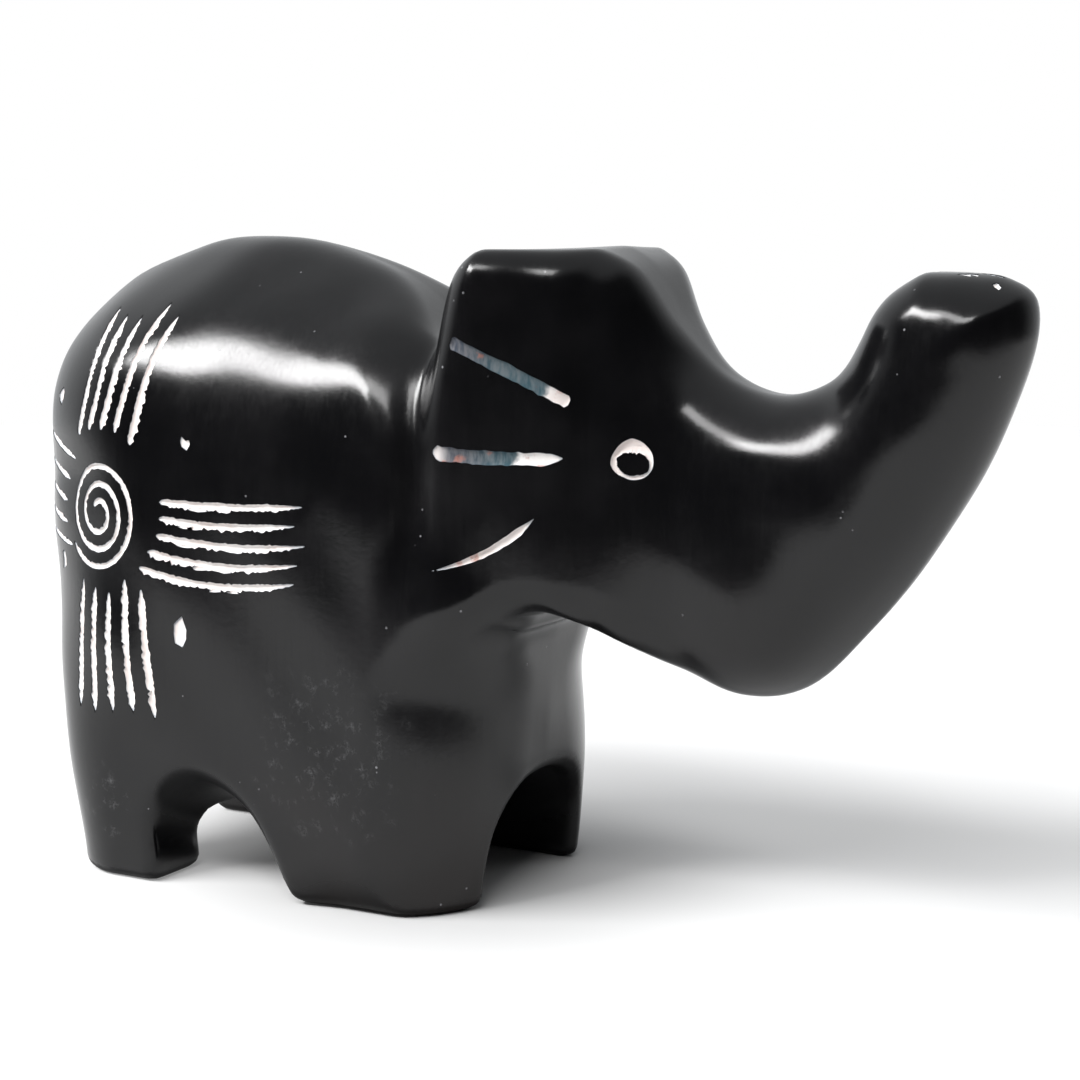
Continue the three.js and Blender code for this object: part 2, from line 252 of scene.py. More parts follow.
def head_and_trunk(x, y, z):
    """The ear has a flat band along its rear edge, and the sides of the trunk swell a little."""
    lean = ramp(z, [(40, 0), (48, 0), (58, 1.2), (66, 3.2)]) * (1 - smoothstep(x, 8, 16))
    width = ramp(
        x - lean,
        [
            (-2, 14.4), (6.3, EAR_HALF_WIDTH), (10, 16.5), (17, 13.7), (20, 12.1),
            (24, 10.3), (28, 9.1), (40, 8.6), (55, 8.2), (70, 7.6),
        ],
        soft=1.1,
    )
    side = HEAD(x, z)
    swell = smoothstep(x, 16, 30)
    width = width - (0.5 + 2.1 * swell) * np.clip(1 + side / 12, 0, 1) ** 2
    width = width - CREASE_DEPTH * np.exp(-(((x - CREASE_X) / CREASE_WIDTH) ** 2))
    width = width - HEAD_TAPER * (z - 48) * (1 - swell)
    reach_along = ramp(x, [(8, 2.4), (26, 5.5), (38, 6), (44, 8), (53, 7)])
    reach_across = ramp(x, [(8, 2.4), (26, 5), (38, 5.5), (44, 7.5), (53, 6)])
    # the top of the trunk's tip has a tighter edge than its front
    tip = smoothstep(z, 57, 63) * smoothstep(x, 40, 46) * (1 - smoothstep(x, 54, 59))
    return both(side, y - width, toward(reach_along, TIP_REACH, tip), toward(reach_across, TIP_REACH, tip))


def side_tunnel(x, y, z):
    top = BELLY + (ARCH_TOP - BELLY) * np.minimum(y / HALF_WIDTH, 1) ** 2
    return SIDE_ARCH(x, z * ARCH_TOP / top)


def lengthwise_tunnel(x, y, z):
    top = BELLY + (ARCH_TOP - BELLY) * np.minimum(np.abs(x + 16) / 23, 1) ** 2
    total = (y / TUNNEL_HALF_WIDTH) ** SQUARENESS + (np.maximum(z, 0) / top) ** SQUARENESS
    return (total ** (1 / SQUARENESS) - 1) * np.minimum(TUNNEL_HALF_WIDTH, top)


def hand_wobble(x, y, z):
    """The small unevenness of a shape made by hand, as a shift of each point."""
    dx = 0.16 * np.sin(0.13 * y + 0.11 * z + 0.4) + 0.05 * np.sin(0.47 * z + 0.31 * y + 1.1)
    dy = 0.2 * np.sin(0.1 * x - 0.12 * z + 2.0) + 0.06 * np.sin(0.41 * x + 0.36 * z)
    dz = 0.16 * np.sin(0.11 * x + 0.14 * y + 1.0) + 0.05 * np.sin(0.5 * x - 0.33 * y + 2.2)
    low = smoothstep(z, 0, 6)
    return x + dx, y + dy, z + dz * low


def elephant(points):
    """The whole carving, at points in millimetres in the carving's own x."""
    # both sides wobble alike, so that the marks of one fit the other
    side = -np.sqrt(points[:, 1] ** 2 + MIDDLE_SOFTNESS**2)
    x, side, z = hand_wobble(points[:, 0], side, points[:, 2])
    y = np.sqrt(side * side + MIDDLE_SOFTNESS**2)
    blend = 5 - 2 * smoothstep(z, 30, 40)  # the ear's lower edge melts into the chest
    stone = join(join(body(x, y, z), neck(x, y, z), 3), head_and_trunk(x, y, z), blend)
    arched = cut(cut(stone, side_tunnel(x, y, z), 1.5), lengthwise_tunnel(x, y, z), 1.5)
    return both(arched, -points[:, 2], SOLE_ROUNDING, SOLE_ROUNDING)


def slope(points, reach=0.12):
    """Direction in which the carving's function grows, and how fast."""
    shifts = np.eye(3) * reach
    return np.stack([elephant(points + s) - elephant(points - s) for s in shifts], 1) / (2 * reach)


# Surface ----------------------------------------------------------------------------------------


def surface_net(shape, low, high, step):
    """Vertices and outward quads of the surface where shape is zero."""
    axes = [np.arange(a, b, step) for a, b in zip(low, high)]
    where = np.stack(np.meshgrid(*axes, indexing="ij"), -1)
    value = np.concatenate([shape(sheet.reshape(-1, 3)) for sheet in where]).reshape(where.shape[:3])
    inside = value < 0
    n = [s - 1 for s in value.shape]
    corners = [(i, j, k) for i in (0, 1) for j in (0, 1) for k in (0, 1)]

    def at(array, c):
        return array[c[0] : n[0] + c[0], c[1] : n[1] + c[1], c[2] : n[2] + c[2]]

    count = sum(at(inside, c).astype(np.int8) for c in corners)
    active = (count > 0) & (count < 8)
    cells = np.argwhere(active)
    total = np.zeros((len(cells), 3))
    hits = np.zeros(len(cells))
    for c in corners:
        for axis in range(3):
            if c[axis]:
                continue
            d = tuple(1 if q == axis else c[q] for q in range(3))
            a, b = at(value, c)[active], at(value, d)[active]
            crossed = (a < 0) != (b < 0)
            point = np.tile(np.array(c, float), (len(cells), 1))
            point[:, axis] = a / np.where(crossed, a - b, 1)
            total += point * crossed[:, None]
            hits += crossed
    vertices = (cells + total / hits[:, None]) * step + np.array(low)
    index = np.full(active.shape, -1)
    index[active] = np.arange(len(cells))
    quads = []
    for axis in range(3):
        u, v = (np.eye(3, dtype=int)[(axis + k) % 3] for k in (1, 2))
        size = inside.shape[axis]
        a, b = np.take(inside, range(size - 1), axis), np.take(inside, range(1, size), axis)
        for crossing, flip in ((a & ~b, False), (~a & b, True)):
            e = np.argwhere(crossing)
            e = e[((e - u - v) >= 0).all(1) & (e < n).all(1)]
            ring = [index[tuple((e - m).T)] for m in (u + v, v, 0 * u, u)]
            quads.append(np.stack(ring[::-1] if flip else ring, 1))
    return vertices, np.concatenate(quads)


def settled(vertices, rounds=3):
    """The vertices moved onto the surface itself."""
    for _ in range(rounds):
        g = slope(vertices)
        move = -g * (elephant(vertices) / np.maximum((g * g).sum(1), 0.2))[:, None]
        length = np.linalg.norm(move, axis=1, keepdims=True)
        vertices = vertices + move * np.minimum(1, STEP / 2 / np.maximum(length, 1e-9))
    return vertices


def unit(v):
    return v / np.maximum(np.linalg.norm(v, axis=-1, keepdims=True), 1e-9)


vertices, quads = surface_net(elephant, (-54, -21.5, -1.6), (64, 22, 73), STEP)
vertices = settled(vertices)
normals = unit(slope(vertices))
SOLE = 0.05  # vertices lower than this are on a sole
on_sole = vertices[:, 2] < SOLE
vertices[on_sole, 2] = 0
inward = -normals * DYE
inward[on_sole, 2] = 0
inner = vertices + inward
inner[on_sole, 2] = 0


def to_frame(points):
    """From the carving's millimetres to metres in the frame."""
    return (np.asarray(points, float) + (SHIFT, 0, 0)) * MM


def from_frame(points):
    return np.asarray(points, float) / MM - (SHIFT, 0, 0)


def x_in_frame(x):
    return (x + SHIFT) * MM


def new_object(name, points, faces):
    mesh = bpy.data.meshes.new(name)
    mesh.from_pydata([tuple(p) for p in points], [], [tuple(f) for f in faces])
    mesh.update()
    made = bpy.data.objects.new(name, mesh)
    bpy.context.scene.collection.objects.link(made)
    return made


def stone_body():
    """The stone under the dye, a closed body."""
    return new_object("carved_soapstone", to_frame(inner), quads)


def skin_body():
    """The dyed layer, a thin closed shell that is open under the feet."""
    kept = quads[~on_sole[quads].all(1)]
    used = set(map(tuple, np.concatenate([kept[:, [k, (k + 1) % 4]] for k in range(4)])))
    rim = [(a, b) for a, b in used if (b, a) not in used]
    n = len(vertices)
    stitches = [(b, a, a + n, b + n) for a, b in rim]
    faces = [*kept.tolist(), *(kept[:, ::-1] + n).tolist(), *stitches]
    shell = new_object("dyed_stone", to_frame(np.vstack([vertices, inner])), faces)
    loose = bmesh.new()
    loose.from_mesh(shell.data)
    bmesh.ops.delete(loose, geom=[v for v in loose.verts if not v.link_faces], context="VERTS")
    loose.to_mesh(shell.data)
    loose.free()
    return shell


# Marks ------------------------------------------------------------------------------------------
# The marks are cut along paths that lie on the surface. The ones on the flank are laid out on a plane
# that faces the rear quarter, u towards the trunk and v up, about the middle of the spiral.

RUMP_CENTRE = np.array([-36, -17.4, 40.3])
RUMP_FACING = math.radians(-108)
FACING = np.array([math.cos(RUMP_FACING), math.sin(RUMP_FACING), 0])
PATTERN_U = np.array([-FACING[1], FACING[0], 0])
SPIRAL_WIDTH = 0.72
RING = 12  # points round a cutter
PATH_STEP = 0.28

surface = BVHTree.FromPolygons([tuple(v) for v in vertices], [tuple(q) for q in quads.tolist()])


def cast(point, direction):
    """The first place on the surface from a point outside it, or the nearest one."""
    hit = surface.ray_cast(Vector(point), Vector(direction))[0]
    return np.array(hit if hit is not None else surface.find_nearest(Vector(point))[0])


def on_flank(u, v):
    start = RUMP_CENTRE + u * PATTERN_U + np.array([0, 0, v]) + 30 * FACING
    return cast(start, -FACING)


def on_head(x, z):
    return cast((x, -40, z), (0, 1, 0))


def bowed(a, b, bow, count=40):
    """Points on a bowed line between two points of a plane."""
    a, b = np.array(a, float), np.array(b, float)
    across = unit(np.array([a[1] - b[1], b[0] - a[0]]))
    t = np.linspace(0, 1, count)[:, None]
    return a + (b - a) * t + across * bow * 4 * t * (1 - t)


def round_the_rump(start, rise, length):
    """A path that starts on the flank and follows the surface backwards and round."""
    p = on_flank(*start)
    path = [p]
    heading = np.array([-1.0, 0, 0])
    for _ in range(int(length / PATH_STEP)):
        normal = unit(slope(p[None])[0])
        tangent = unit(np.cross(normal, (0, 0, 1)))
        tangent = tangent * np.sign(tangent @ heading) + np.array([0, 0, rise])
        heading = tangent
        p = p + unit(tangent) * PATH_STEP
        p = np.array(surface.find_nearest(Vector(p))[0])
        path.append(p)
    return np.array(path)


def resampled(path, step=PATH_STEP):
    along = np.concatenate([[0], np.cumsum(np.linalg.norm(np.diff(path, axis=0), axis=1))])
    count = max(int(along[-1] / step), 4)
    at = np.linspace(0, along[-1], count + 1)
    return np.stack([np.interp(at, along, path[:, k]) for k in range(3)], 1)


def uneven(count, grain, amount):
    """A run of smooth random numbers about 1."""
    knots = RNG.normal(0, amount, max(count // grain, 2) + 3)
    return 1 + np.interp(np.arange(count) / grain, np.arange(len(knots)), knots)


class Cutter:
    """All the cuts of one kind, as one mesh."""

    def __init__(self):
        self.points, self.faces = [], []

    def sweep(self, path, left, right, depth, closed=False):
        """A groove along a path on the surface, with its half widths to both sides and its depth."""
        ahead = np.roll(path, -1, 0) - np.roll(path, 1, 0)
        if not closed:
            ahead[0], ahead[-1] = path[1] - path[0], path[-1] - path[-2]
        normal = unit(slope(path))
        across = unit(np.cross(unit(ahead), normal))
        angle = np.arange(RING) / RING * 2 * math.pi
        sideways = np.where(np.cos(angle) > 0, right[:, None], left[:, None]) * np.cos(angle)
        upward = np.where(np.sin(angle) > 0, 0.5, depth[:, None]) * np.sin(angle)
        rings = path[:, None] + across[:, None] * sideways[..., None] + normal[:, None] * upward[..., None]
        base = sum(len(p) for p in self.points)
        count = len(path)
        self.points.append(rings.reshape(-1, 3))
        for i in range(count if closed else count - 1):
            a, b = base + i * RING, base + (i + 1) % count * RING
            self.faces += [(a + k, a + (k + 1) % RING, b + (k + 1) % RING, b + k) for k in range(RING)]
        if not closed:
            self.points.append(path[[0, -1]])
            last = base + (count - 1) * RING
            for k in range(RING):
                self.faces.append((base + (k + 1) % RING, base + k, base + count * RING))
                self.faces.append((last + k, last + (k + 1) % RING, base + count * RING + 1))

    def groove(self, path, width, depth, start=0.5, end=2.5, rough=0.12):
        """A scratched line that grows over the length start and runs out over the length end."""
        path = resampled(path)
        count = len(path)
        along = np.arange(count) * PATH_STEP
        grown = np.clip((along + 0.08) / start, 0, 1) ** 0.5
        left_over = np.clip((along[-1] - along + 0.05) / end, 0, 1) ** 0.7
        size = np.maximum(grown * left_over, 0.12)
        half = width / 2 * size * uneven(count, 9, 0.06)
        left = half * uneven(count, 1, rough * 0.5)
        right = half * uneven(count, 1, rough * 1.2)
        self.sweep(path, left, right, depth * size * uneven(count, 3, 0.12))

    def chip(self, centre, across, size, depth):
        """A flake knocked out of the surface: an uneven flattened blob."""
        normal = unit(slope(centre[None])[0])
        u = unit(np.cross(normal, across))
        v = np.cross(normal, u)
        rings, around = 5, 7
        lumps = uneven(around, 1, 0.3)
        base = sum(len(p) for p in self.points)
        pts = []
        for i in range(1, rings):
            tilt = math.pi * i / rings
            for k in range(around):
                turn = 2 * math.pi * k / around
                r = math.sin(tilt) * lumps[k] * (1 + RNG.normal(0, 0.05))
                pts.append(
                    centre
                    + u * size[0] * r * math.cos(turn)
                    + v * size[1] * r * math.sin(turn)
                    + normal * math.cos(tilt) * depth
                )
        pts += [centre + normal * depth, centre - normal * depth]
        self.points.append(np.array(pts))
        top, bottom = base + (rings - 1) * around, base + (rings - 1) * around + 1
        for k in range(around):
            m = (k + 1) % around
            self.faces.append((top, base + k, base + m))
            last = base + (rings - 2) * around
            self.faces.append((bottom, last + m, last + k))
            for i in range(rings - 2):
                a, b = base + i * around, base + (i + 1) * around
                self.faces.append((a + k, b + k, b + m, a + m))

    def mirrored(self):
        """The same cuts on the elephant's other side."""
        other = Cutter()
        other.points = [np.vstack(self.points) * (1, -1, 1)]
        other.faces = [f[::-1] for f in self.faces]
        return other

    def build(self, name):
        made = new_object(name, to_frame(np.vstack(self.points)), self.faces)
        fresh = bmesh.new()
        fresh.from_mesh(made.data)
        bmesh.ops.recalc_face_normals(fresh, faces=fresh.faces)
        fresh.to_mesh(made.data)
        fresh.free()
        return made


# The rays fan out from the spiral in four groups, and start on a clear ring round it.
CLEAR_RING = 8.9
REAR_RING = 7.3  # the rays that go round the rump come closer
RAYS_EACH_WAY = 5
REAR_LENGTH, REAR_WIDTH = 17, 0.7
RAY_DEPTH, REAR_DEPTH, SPIRAL_DEPTH, CHIP_DEPTH = 0.32, 0.28, 0.26, 0.28
RAY_ROUGHNESS, SPIRAL_ROUGHNESS = 0.2, 0.16
REAR_RISE = (0.27, -0.03)  # how steeply the first ray climbs round the rump, and how that changes
REAR_NEAR = (5.2, -2.4)  # height of the first ray on the rump, and the spacing
UNEVEN_START, UNEVEN_END = 0.35, 0.6
SPIRAL_CENTRE = (-0.4, -0.3)
SPIRAL_START = 180
SPIRAL_INNER, SPIRAL_GROWTH = 0.8, 0.46  # radius at the middle, and how much it grows each quarter turn
SPIRAL_QUARTERS = (0.4, 11.6)


def fan(turn, start, end, near, far, bows, width):
    """Rays that go one way. near and far are the first ray's place across the fan and the spacing."""
    c, s = round(math.cos(math.radians(turn))), round(math.sin(math.radians(turn)))
    for i in range(RAYS_EACH_WAY):
        across, away = near[0] + near[1] * i, far[0] + far[1] * i
        first = max(start, math.sqrt(CLEAR_RING**2 - across**2)) + RNG.normal(0, UNEVEN_START)
        last = end + RNG.normal(0, UNEVEN_END)
        bow = bows[0] + (bows[1] - bows[0]) * i / (RAYS_EACH_WAY - 1)
        a = (c * first - s * across, s * first + c * across)
        b = (c * last - s * away, s * last + c * away)
        yield a, b, bow, width


UP_RAYS = list(fan(90, 7.5, 21.5, (4, -2.2), (5, -2.7), (-2, -0.6), 1.0))
RIGHT_RAYS = list(fan(0, 7, 26.5, (1.5, -1.8), (2, -2), (-0.3, -1.2), 0.85))
DOWN_RAYS = list(fan(-90, 8, 22, (-3, 2.4), (-2.5, 2.7), (-0.2, -0.2), 1.05))


def spiral_path():
    quarter = np.linspace(*SPIRAL_QUARTERS, 240)
    radius = (SPIRAL_INNER + SPIRAL_GROWTH * quarter) * uneven(240, 24, 0.02)
    angle = np.radians(SPIRAL_START - 90 * quarter)
    u, v = SPIRAL_CENTRE[0] + radius * np.cos(angle), SPIRAL_CENTRE[1] + radius * np.sin(angle)
    return np.array([on_flank(a, b) for a, b in zip(u, v)])


def flank_marks():
    cuts = Cutter()
    for rays, start, end in ((UP_RAYS, 0.8, 3), (RIGHT_RAYS, 0.9, 5), (DOWN_RAYS, 2.2, 2)):
        for a, b, bow, width in rays:
            path = np.array([on_flank(u, v) for u, v in bowed(a, b, bow)])
            cuts.groove(path, width, RAY_DEPTH, start, end, rough=RAY_ROUGHNESS)
    for i in range(RAYS_EACH_WAY):
        height = REAR_NEAR[0] + REAR_NEAR[1] * i
        place = (-math.sqrt(REAR_RING**2 - height**2), height)
        path = round_the_rump(place, REAR_RISE[0] + REAR_RISE[1] * i, REAR_LENGTH)
        cuts.groove(path, REAR_WIDTH, REAR_DEPTH, 1.5, 4, rough=RAY_ROUGHNESS)
    return cuts


def spiral_mark():
    cuts = Cutter()
    cuts.groove(spiral_path(), SPIRAL_WIDTH, SPIRAL_DEPTH, start=0.5, end=1.2, rough=SPIRAL_ROUGHNESS)
    return cuts


# Loose flakes round the pattern: place and half sizes.
LOOSE_CHIPS = [(-9, 12, 0.8, 0.75), (12, 8, 0.85, 0.75), (-8.5, -6.5, 0.8, 1.0), (11.5, -12.5, 1.15, 1.35)]


def flank_chips():
    """The loose flakes, and the ones that the tool tore from the lower edges of the level rays."""
    cuts = Cutter()
    up = (0, 0, 1)
    for u, v, a, b in LOOSE_CHIPS:
        cuts.chip(on_flank(u, v), up, (a, b), CHIP_DEPTH)
    for a, b, bow, width in RIGHT_RAYS:
        path = bowed(a, b, bow)
        for share in RNG.uniform(0.15, 0.65, 2):
            u, v = path[int(share * len(path))]
            cuts.chip(on_flank(u, v - 0.4), up, (RNG.uniform(0.8, 1.3), 0.26), CHIP_DEPTH)
    return cuts


# Each ear mark: where it starts and ends, its width and bow, and the lengths of its two ends.
EAR_MARKS = [
    ((7.5, 59.5), (18.5, 53.5), 1.4, 0.15, 0.3, 0.4),
    ((5.5, 48.5), (18, 48), 1.4, -0.3, 0.7, 2.2),
    ((5.5, 36.5), (15.5, 42), 0.85, -0.9, 6.5, 2.5),
]


def head_marks():
    cuts = Cutter()
    for a, b, width, bow, start, end in EAR_MARKS:
        path = resampled(np.array([on_head(x, z) for x, z in bowed(a, b, bow)]))
        count = len(path)
        along = np.arange(count) * PATH_STEP
        grown = np.clip((along + 0.12) / start, 0.1, 1) ** 0.6
        size = grown * np.clip((along[-1] - along + 0.12) / end, 0.1, 1) ** 0.6
        half = width / 2 * size * uneven(count, 7, 0.08)
        ridges = 1 + 0.06 * np.sin(along * 2 * math.pi / 0.9) + RNG.normal(0, 0.04, count)
        cuts.sweep(path, half * uneven(count, 2, 0.06), half * uneven(count, 2, 0.08), 0.3 * size * ridges)
    return cuts


# The carved ring round the pupil: (angle, distance) pairs about the pupil's middle.
EYE = (24.5, 47.5)
EYE_OUTSIDE = [(-180, 2.3), (-130, 1.7), (-80, 1.6), (-30, 1.7), (15, 1.8), (60, 2.1), (100, 2.6), (145, 2.3)]
EYE_INSIDE = [(-150, 1.4), (-80, 1.1), (-30, 1.4), (30, 1.2), (95, 1), (160, 1.7)]
SCRATCH_DEPTH = 0.3
THINNEST_RING = 0.11  # half width
FINE_LINE_RADII = (1.95, 1.75)
FINE_LINE_WIDTH, FINE_LINE_DEPTH = 0.45, 0.42

# Flakes on top of the trunk's tip: place and half sizes.
TIP_CHIPS = [(56, -1.5, 0.5, 0.9), (57.5, 0.5, 0.4, 1.3), (58.5, -2.5, 0.6, 0.5), (55, 2, 0.35, 0.7)]
TIP_CHIP_DEPTH = 0.22


def eye_ring():
    cuts = Cutter()
    turn = np.arange(-180, 180, 4.0)
    rings = (np.array(ring, float).T for ring in (EYE_OUTSIDE, EYE_INSIDE))
    outside, inside = (np.interp(turn, *ring, period=360) for ring in rings)
    middle, half = (outside + inside) / 2, (outside - inside) / 2
    a = np.radians(turn)
    path = np.array([on_head(EYE[0] + r * math.cos(q), EYE[1] + r * math.sin(q)) for r, q in zip(middle, a)])
    half = np.maximum(half, THINNEST_RING)
    jag = half * (1 + RNG.normal(0, 0.09, len(path)))
    cuts.sweep(path, jag, half, np.minimum(SCRATCH_DEPTH, 0.6 * half) + 0.05, closed=True)
    return cuts


def fine_marks():
    """The second, finer line inside the upper part of the ring, and flakes on the trunk's tip."""
    cuts = Cutter()
    turn = np.radians(np.arange(165, 55, -4.0))
    x, z = EYE[0] + FINE_LINE_RADII[0] * np.cos(turn), EYE[1] + FINE_LINE_RADII[1] * np.sin(turn)
    path = np.array([on_head(*place) for place in zip(x, z)])
    cuts.groove(path, FINE_LINE_WIDTH, FINE_LINE_DEPTH, start=0.6, end=0.6, rough=0.1)
    for x, y, a, b in TIP_CHIPS:
        top = cast((x, y, 90), (0, 0, -1))
        cuts.chip(top, (1, 0, 0), (a, b), TIP_CHIP_DEPTH)
    return cuts


def subtract(target, cutter):
    """Cuts one mesh out of another and keeps the result as the target's mesh."""
    step = target.modifiers.new("cut", "BOOLEAN")
    step.operation = "DIFFERENCE"
    step.solver = "MANIFOLD"
    step.object = cutter
    graph = bpy.context.evaluated_depsgraph_get()
    result = bpy.data.meshes.new_from_object(target.evaluated_get(graph))
    target.modifiers.clear()
    before = len(target.data.polygons)
    target.data = result
    print(cutter.name, "cut", target.name, before, "->", len(result.polygons))


stone = stone_body()
skin = skin_body()
for label, cuts in [
    ("flank", flank_marks()), ("spiral", spiral_mark()), ("chips", flank_chips()),
    ("head", head_marks()), ("eye", eye_ring()), ("fine", fine_marks()),
]:
    for side, made in (("right", cuts), ("left", cuts.mirrored())):
        cutter = made.build(f"cut_{label}_{side}")
        for target in (stone, skin):
            subtract(target, cutter)
        bpy.data.objects.remove(cutter)


# Pupils: the islands of dyed stone that the eye rings leave ----------------------------------------


def split_pupil(side):
    """Takes the island inside an eye ring out of the skin, as its own piece."""
    name = "right_pupil_stone" if side < 0 else "left_pupil_stone"
    shell = bmesh.new()
    shell.from_mesh(skin.data)
    centre = to_frame(on_head(*EYE) * (1, -side, 1))
    shell.verts.ensure_lookup_table()
    seed = min(shell.verts, key=lambda v: (v.co - Vector(centre)).length)
    island, edge = {seed}, [seed]
    while edge:
        vert = edge.pop()
        for link in vert.link_edges:
            other = link.other_vert(vert)
            if other not in island:
                island.add(other)
                edge.append(other)
    assert len(island) < len(shell.verts) / 10, "the pupil isn't separate from the skin"
    pupil = shell.copy()
    inside = {v.index for v in island}
    pupil.verts.ensure_lookup_table()
    bmesh.ops.delete(pupil, geom=[v for v in pupil.verts if v.index not in inside], context="VERTS")
    bmesh.ops.delete(shell, geom=list(island), context="VERTS")
    shell.to_mesh(skin.data)
    mesh = bpy.data.meshes.new(name)
    pupil.to_mesh(mesh)
    made = bpy.data.objects.new(name, mesh)
    bpy.context.scene.collection.objects.link(made)
    shell.free()
    pupil.free()
    return made


right_pupil = split_pupil(-1)
left_pupil = split_pupil(1)


def carving_points(mesh):
    """The mesh's vertices, in the carving's millimetres."""
    places = np.zeros(len(mesh.vertices) * 3, np.float32)
    mesh.vertices.foreach_get("co", places)
    return from_frame(places.reshape(-1, 3))


def store(mesh, name, values):
    """Keeps a number for each vertex, for the materials."""
    layer = mesh.attributes.new(name, "FLOAT", "POINT")
    layer.data.foreach_set("value", values.astype(np.float32))


def shade(piece):
    """Smooth shading that follows the carving itself, so that the cuts leave no facets beside them."""
    mesh = piece.data
    points = carving_points(mesh)
    normal = unit(slope(points, reach=0.5))
    mesh.shade_smooth()
    mesh.normals_split_custom_set_from_vertices([tuple(n) for n in normal])
    # 0 on the faces of the arches that look down, where no polishing cloth reaches
    hidden = smoothstep(-normal[:, 2], 0.05, 0.5) * smoothstep(-points[:, 2], -17, -12)
    store(mesh, "polish", 1 - hidden)


def shade_stone(piece):
    """The bare stone: only its cut faces show, so their own edges stay sharp."""
    mesh = piece.data
    store(mesh, "depth", -elephant(carving_points(mesh)))
    mesh.shade_smooth()
    mesh.set_sharp_from_angle(angle=math.radians(50))


for piece in (skin, right_pupil, left_pupil):
    shade(piece)
shade_stone(stone)


# Materials --------------------------------------------------------------------------------------


class Nodes:
    """Short ways to build a material's node tree."""

    def __init__(self, name):
        self.material = bpy.data.materials.new(name)
        self.material.use_nodes = True
        self.tree = self.material.node_tree
        self.shader = self.tree.nodes["Principled BSDF"]
        self.place = self.tree.nodes.new("ShaderNodeTexCoord").outputs["Object"]

    def set(self, **values):
        for name, value in values.items():
            self.shader.inputs[name.replace("_", " ")].default_value = value

    def link(self, value, socket):
        if hasattr(value, "is_output"):
            self.tree.links.new(value, socket)
        else:
            socket.default_value = value

    def stretched(self, x, y, z):
        """The place, scaled along each axis."""
        node = self.tree.nodes.new("ShaderNodeMapping")
        self.link(self.place, node.inputs["Vector"])
        node.inputs["Scale"].default_value = (x, y, z)
        return node.outputs["Vector"]

    def noise(self, scale, detail=4.0, rough=0.55, place=None):
        node = self.tree.nodes.new("ShaderNodeTexNoise")
        self.link(place or self.place, node.inputs["Vector"])
        node.inputs["Scale"].default_value = scale
        node.inputs["Detail"].default_value = detail
        node.inputs["Roughness"].default_value = rough
        return node.outputs["Fac"]

    def cells(self, scale, place=None):
        node = self.tree.nodes.new("ShaderNodeTexVoronoi")
        self.link(place or self.place, node.inputs["Vector"])
        node.inputs["Scale"].default_value = scale
        return node.outputs["Distance"]

    def remap(self, value, low, high, to_low=0.0, to_high=1.0):
        node = self.tree.nodes.new("ShaderNodeMapRange")
        node.interpolation_type = "SMOOTHSTEP"
        for k, v in enumerate((value, low, high, to_low, to_high)):
            self.link(v, node.inputs[k])
        return node.outputs["Result"]

    def math(self, kind, a, b=0.0):
        node = self.tree.nodes.new("ShaderNodeMath")
        node.operation = kind
        self.link(a, node.inputs[0])
        self.link(b, node.inputs[1])
        return node.outputs[0]

    def mix(self, share, a, b):
        node = self.tree.nodes.new("ShaderNodeMix")
        node.data_type = "RGBA"
        self.link(share, node.inputs["Factor"])
        for value, socket in ((a, node.inputs["A"]), (b, node.inputs["B"])):
            self.link((*value, 1) if isinstance(value, tuple) else value, socket)
        return node.outputs["Result"]

    def attribute(self, name):
        node = self.tree.nodes.new("ShaderNodeAttribute")
        node.attribute_name = name
        return node.outputs["Fac"]

    def axis(self, k):
        node = self.tree.nodes.new("ShaderNodeSeparateXYZ")
        self.link(self.place, node.inputs[0])
        return node.outputs[k]

    def near(self, centre, radius):
        """1 at a place given in the carving's millimetres, fading to 0 at a radius."""
        node = self.tree.nodes.new("ShaderNodeVectorMath")
        node.operation = "DISTANCE"
        self.link(self.place, node.inputs[0])
        node.inputs[1].default_value = tuple(to_frame(centre))
        return self.remap(node.outputs["Value"], radius * MM, radius * 0.2 * MM)

    def bump(self, height, distance, strength=1.0, under=None):
        node = self.tree.nodes.new("ShaderNodeBump")
        node.inputs["Strength"].default_value = strength
        node.inputs["Distance"].default_value = distance
        self.link(height, node.inputs["Height"])
        if under is not None:
            self.link(under, node.inputs["Normal"])
        return node.outputs["Normal"]


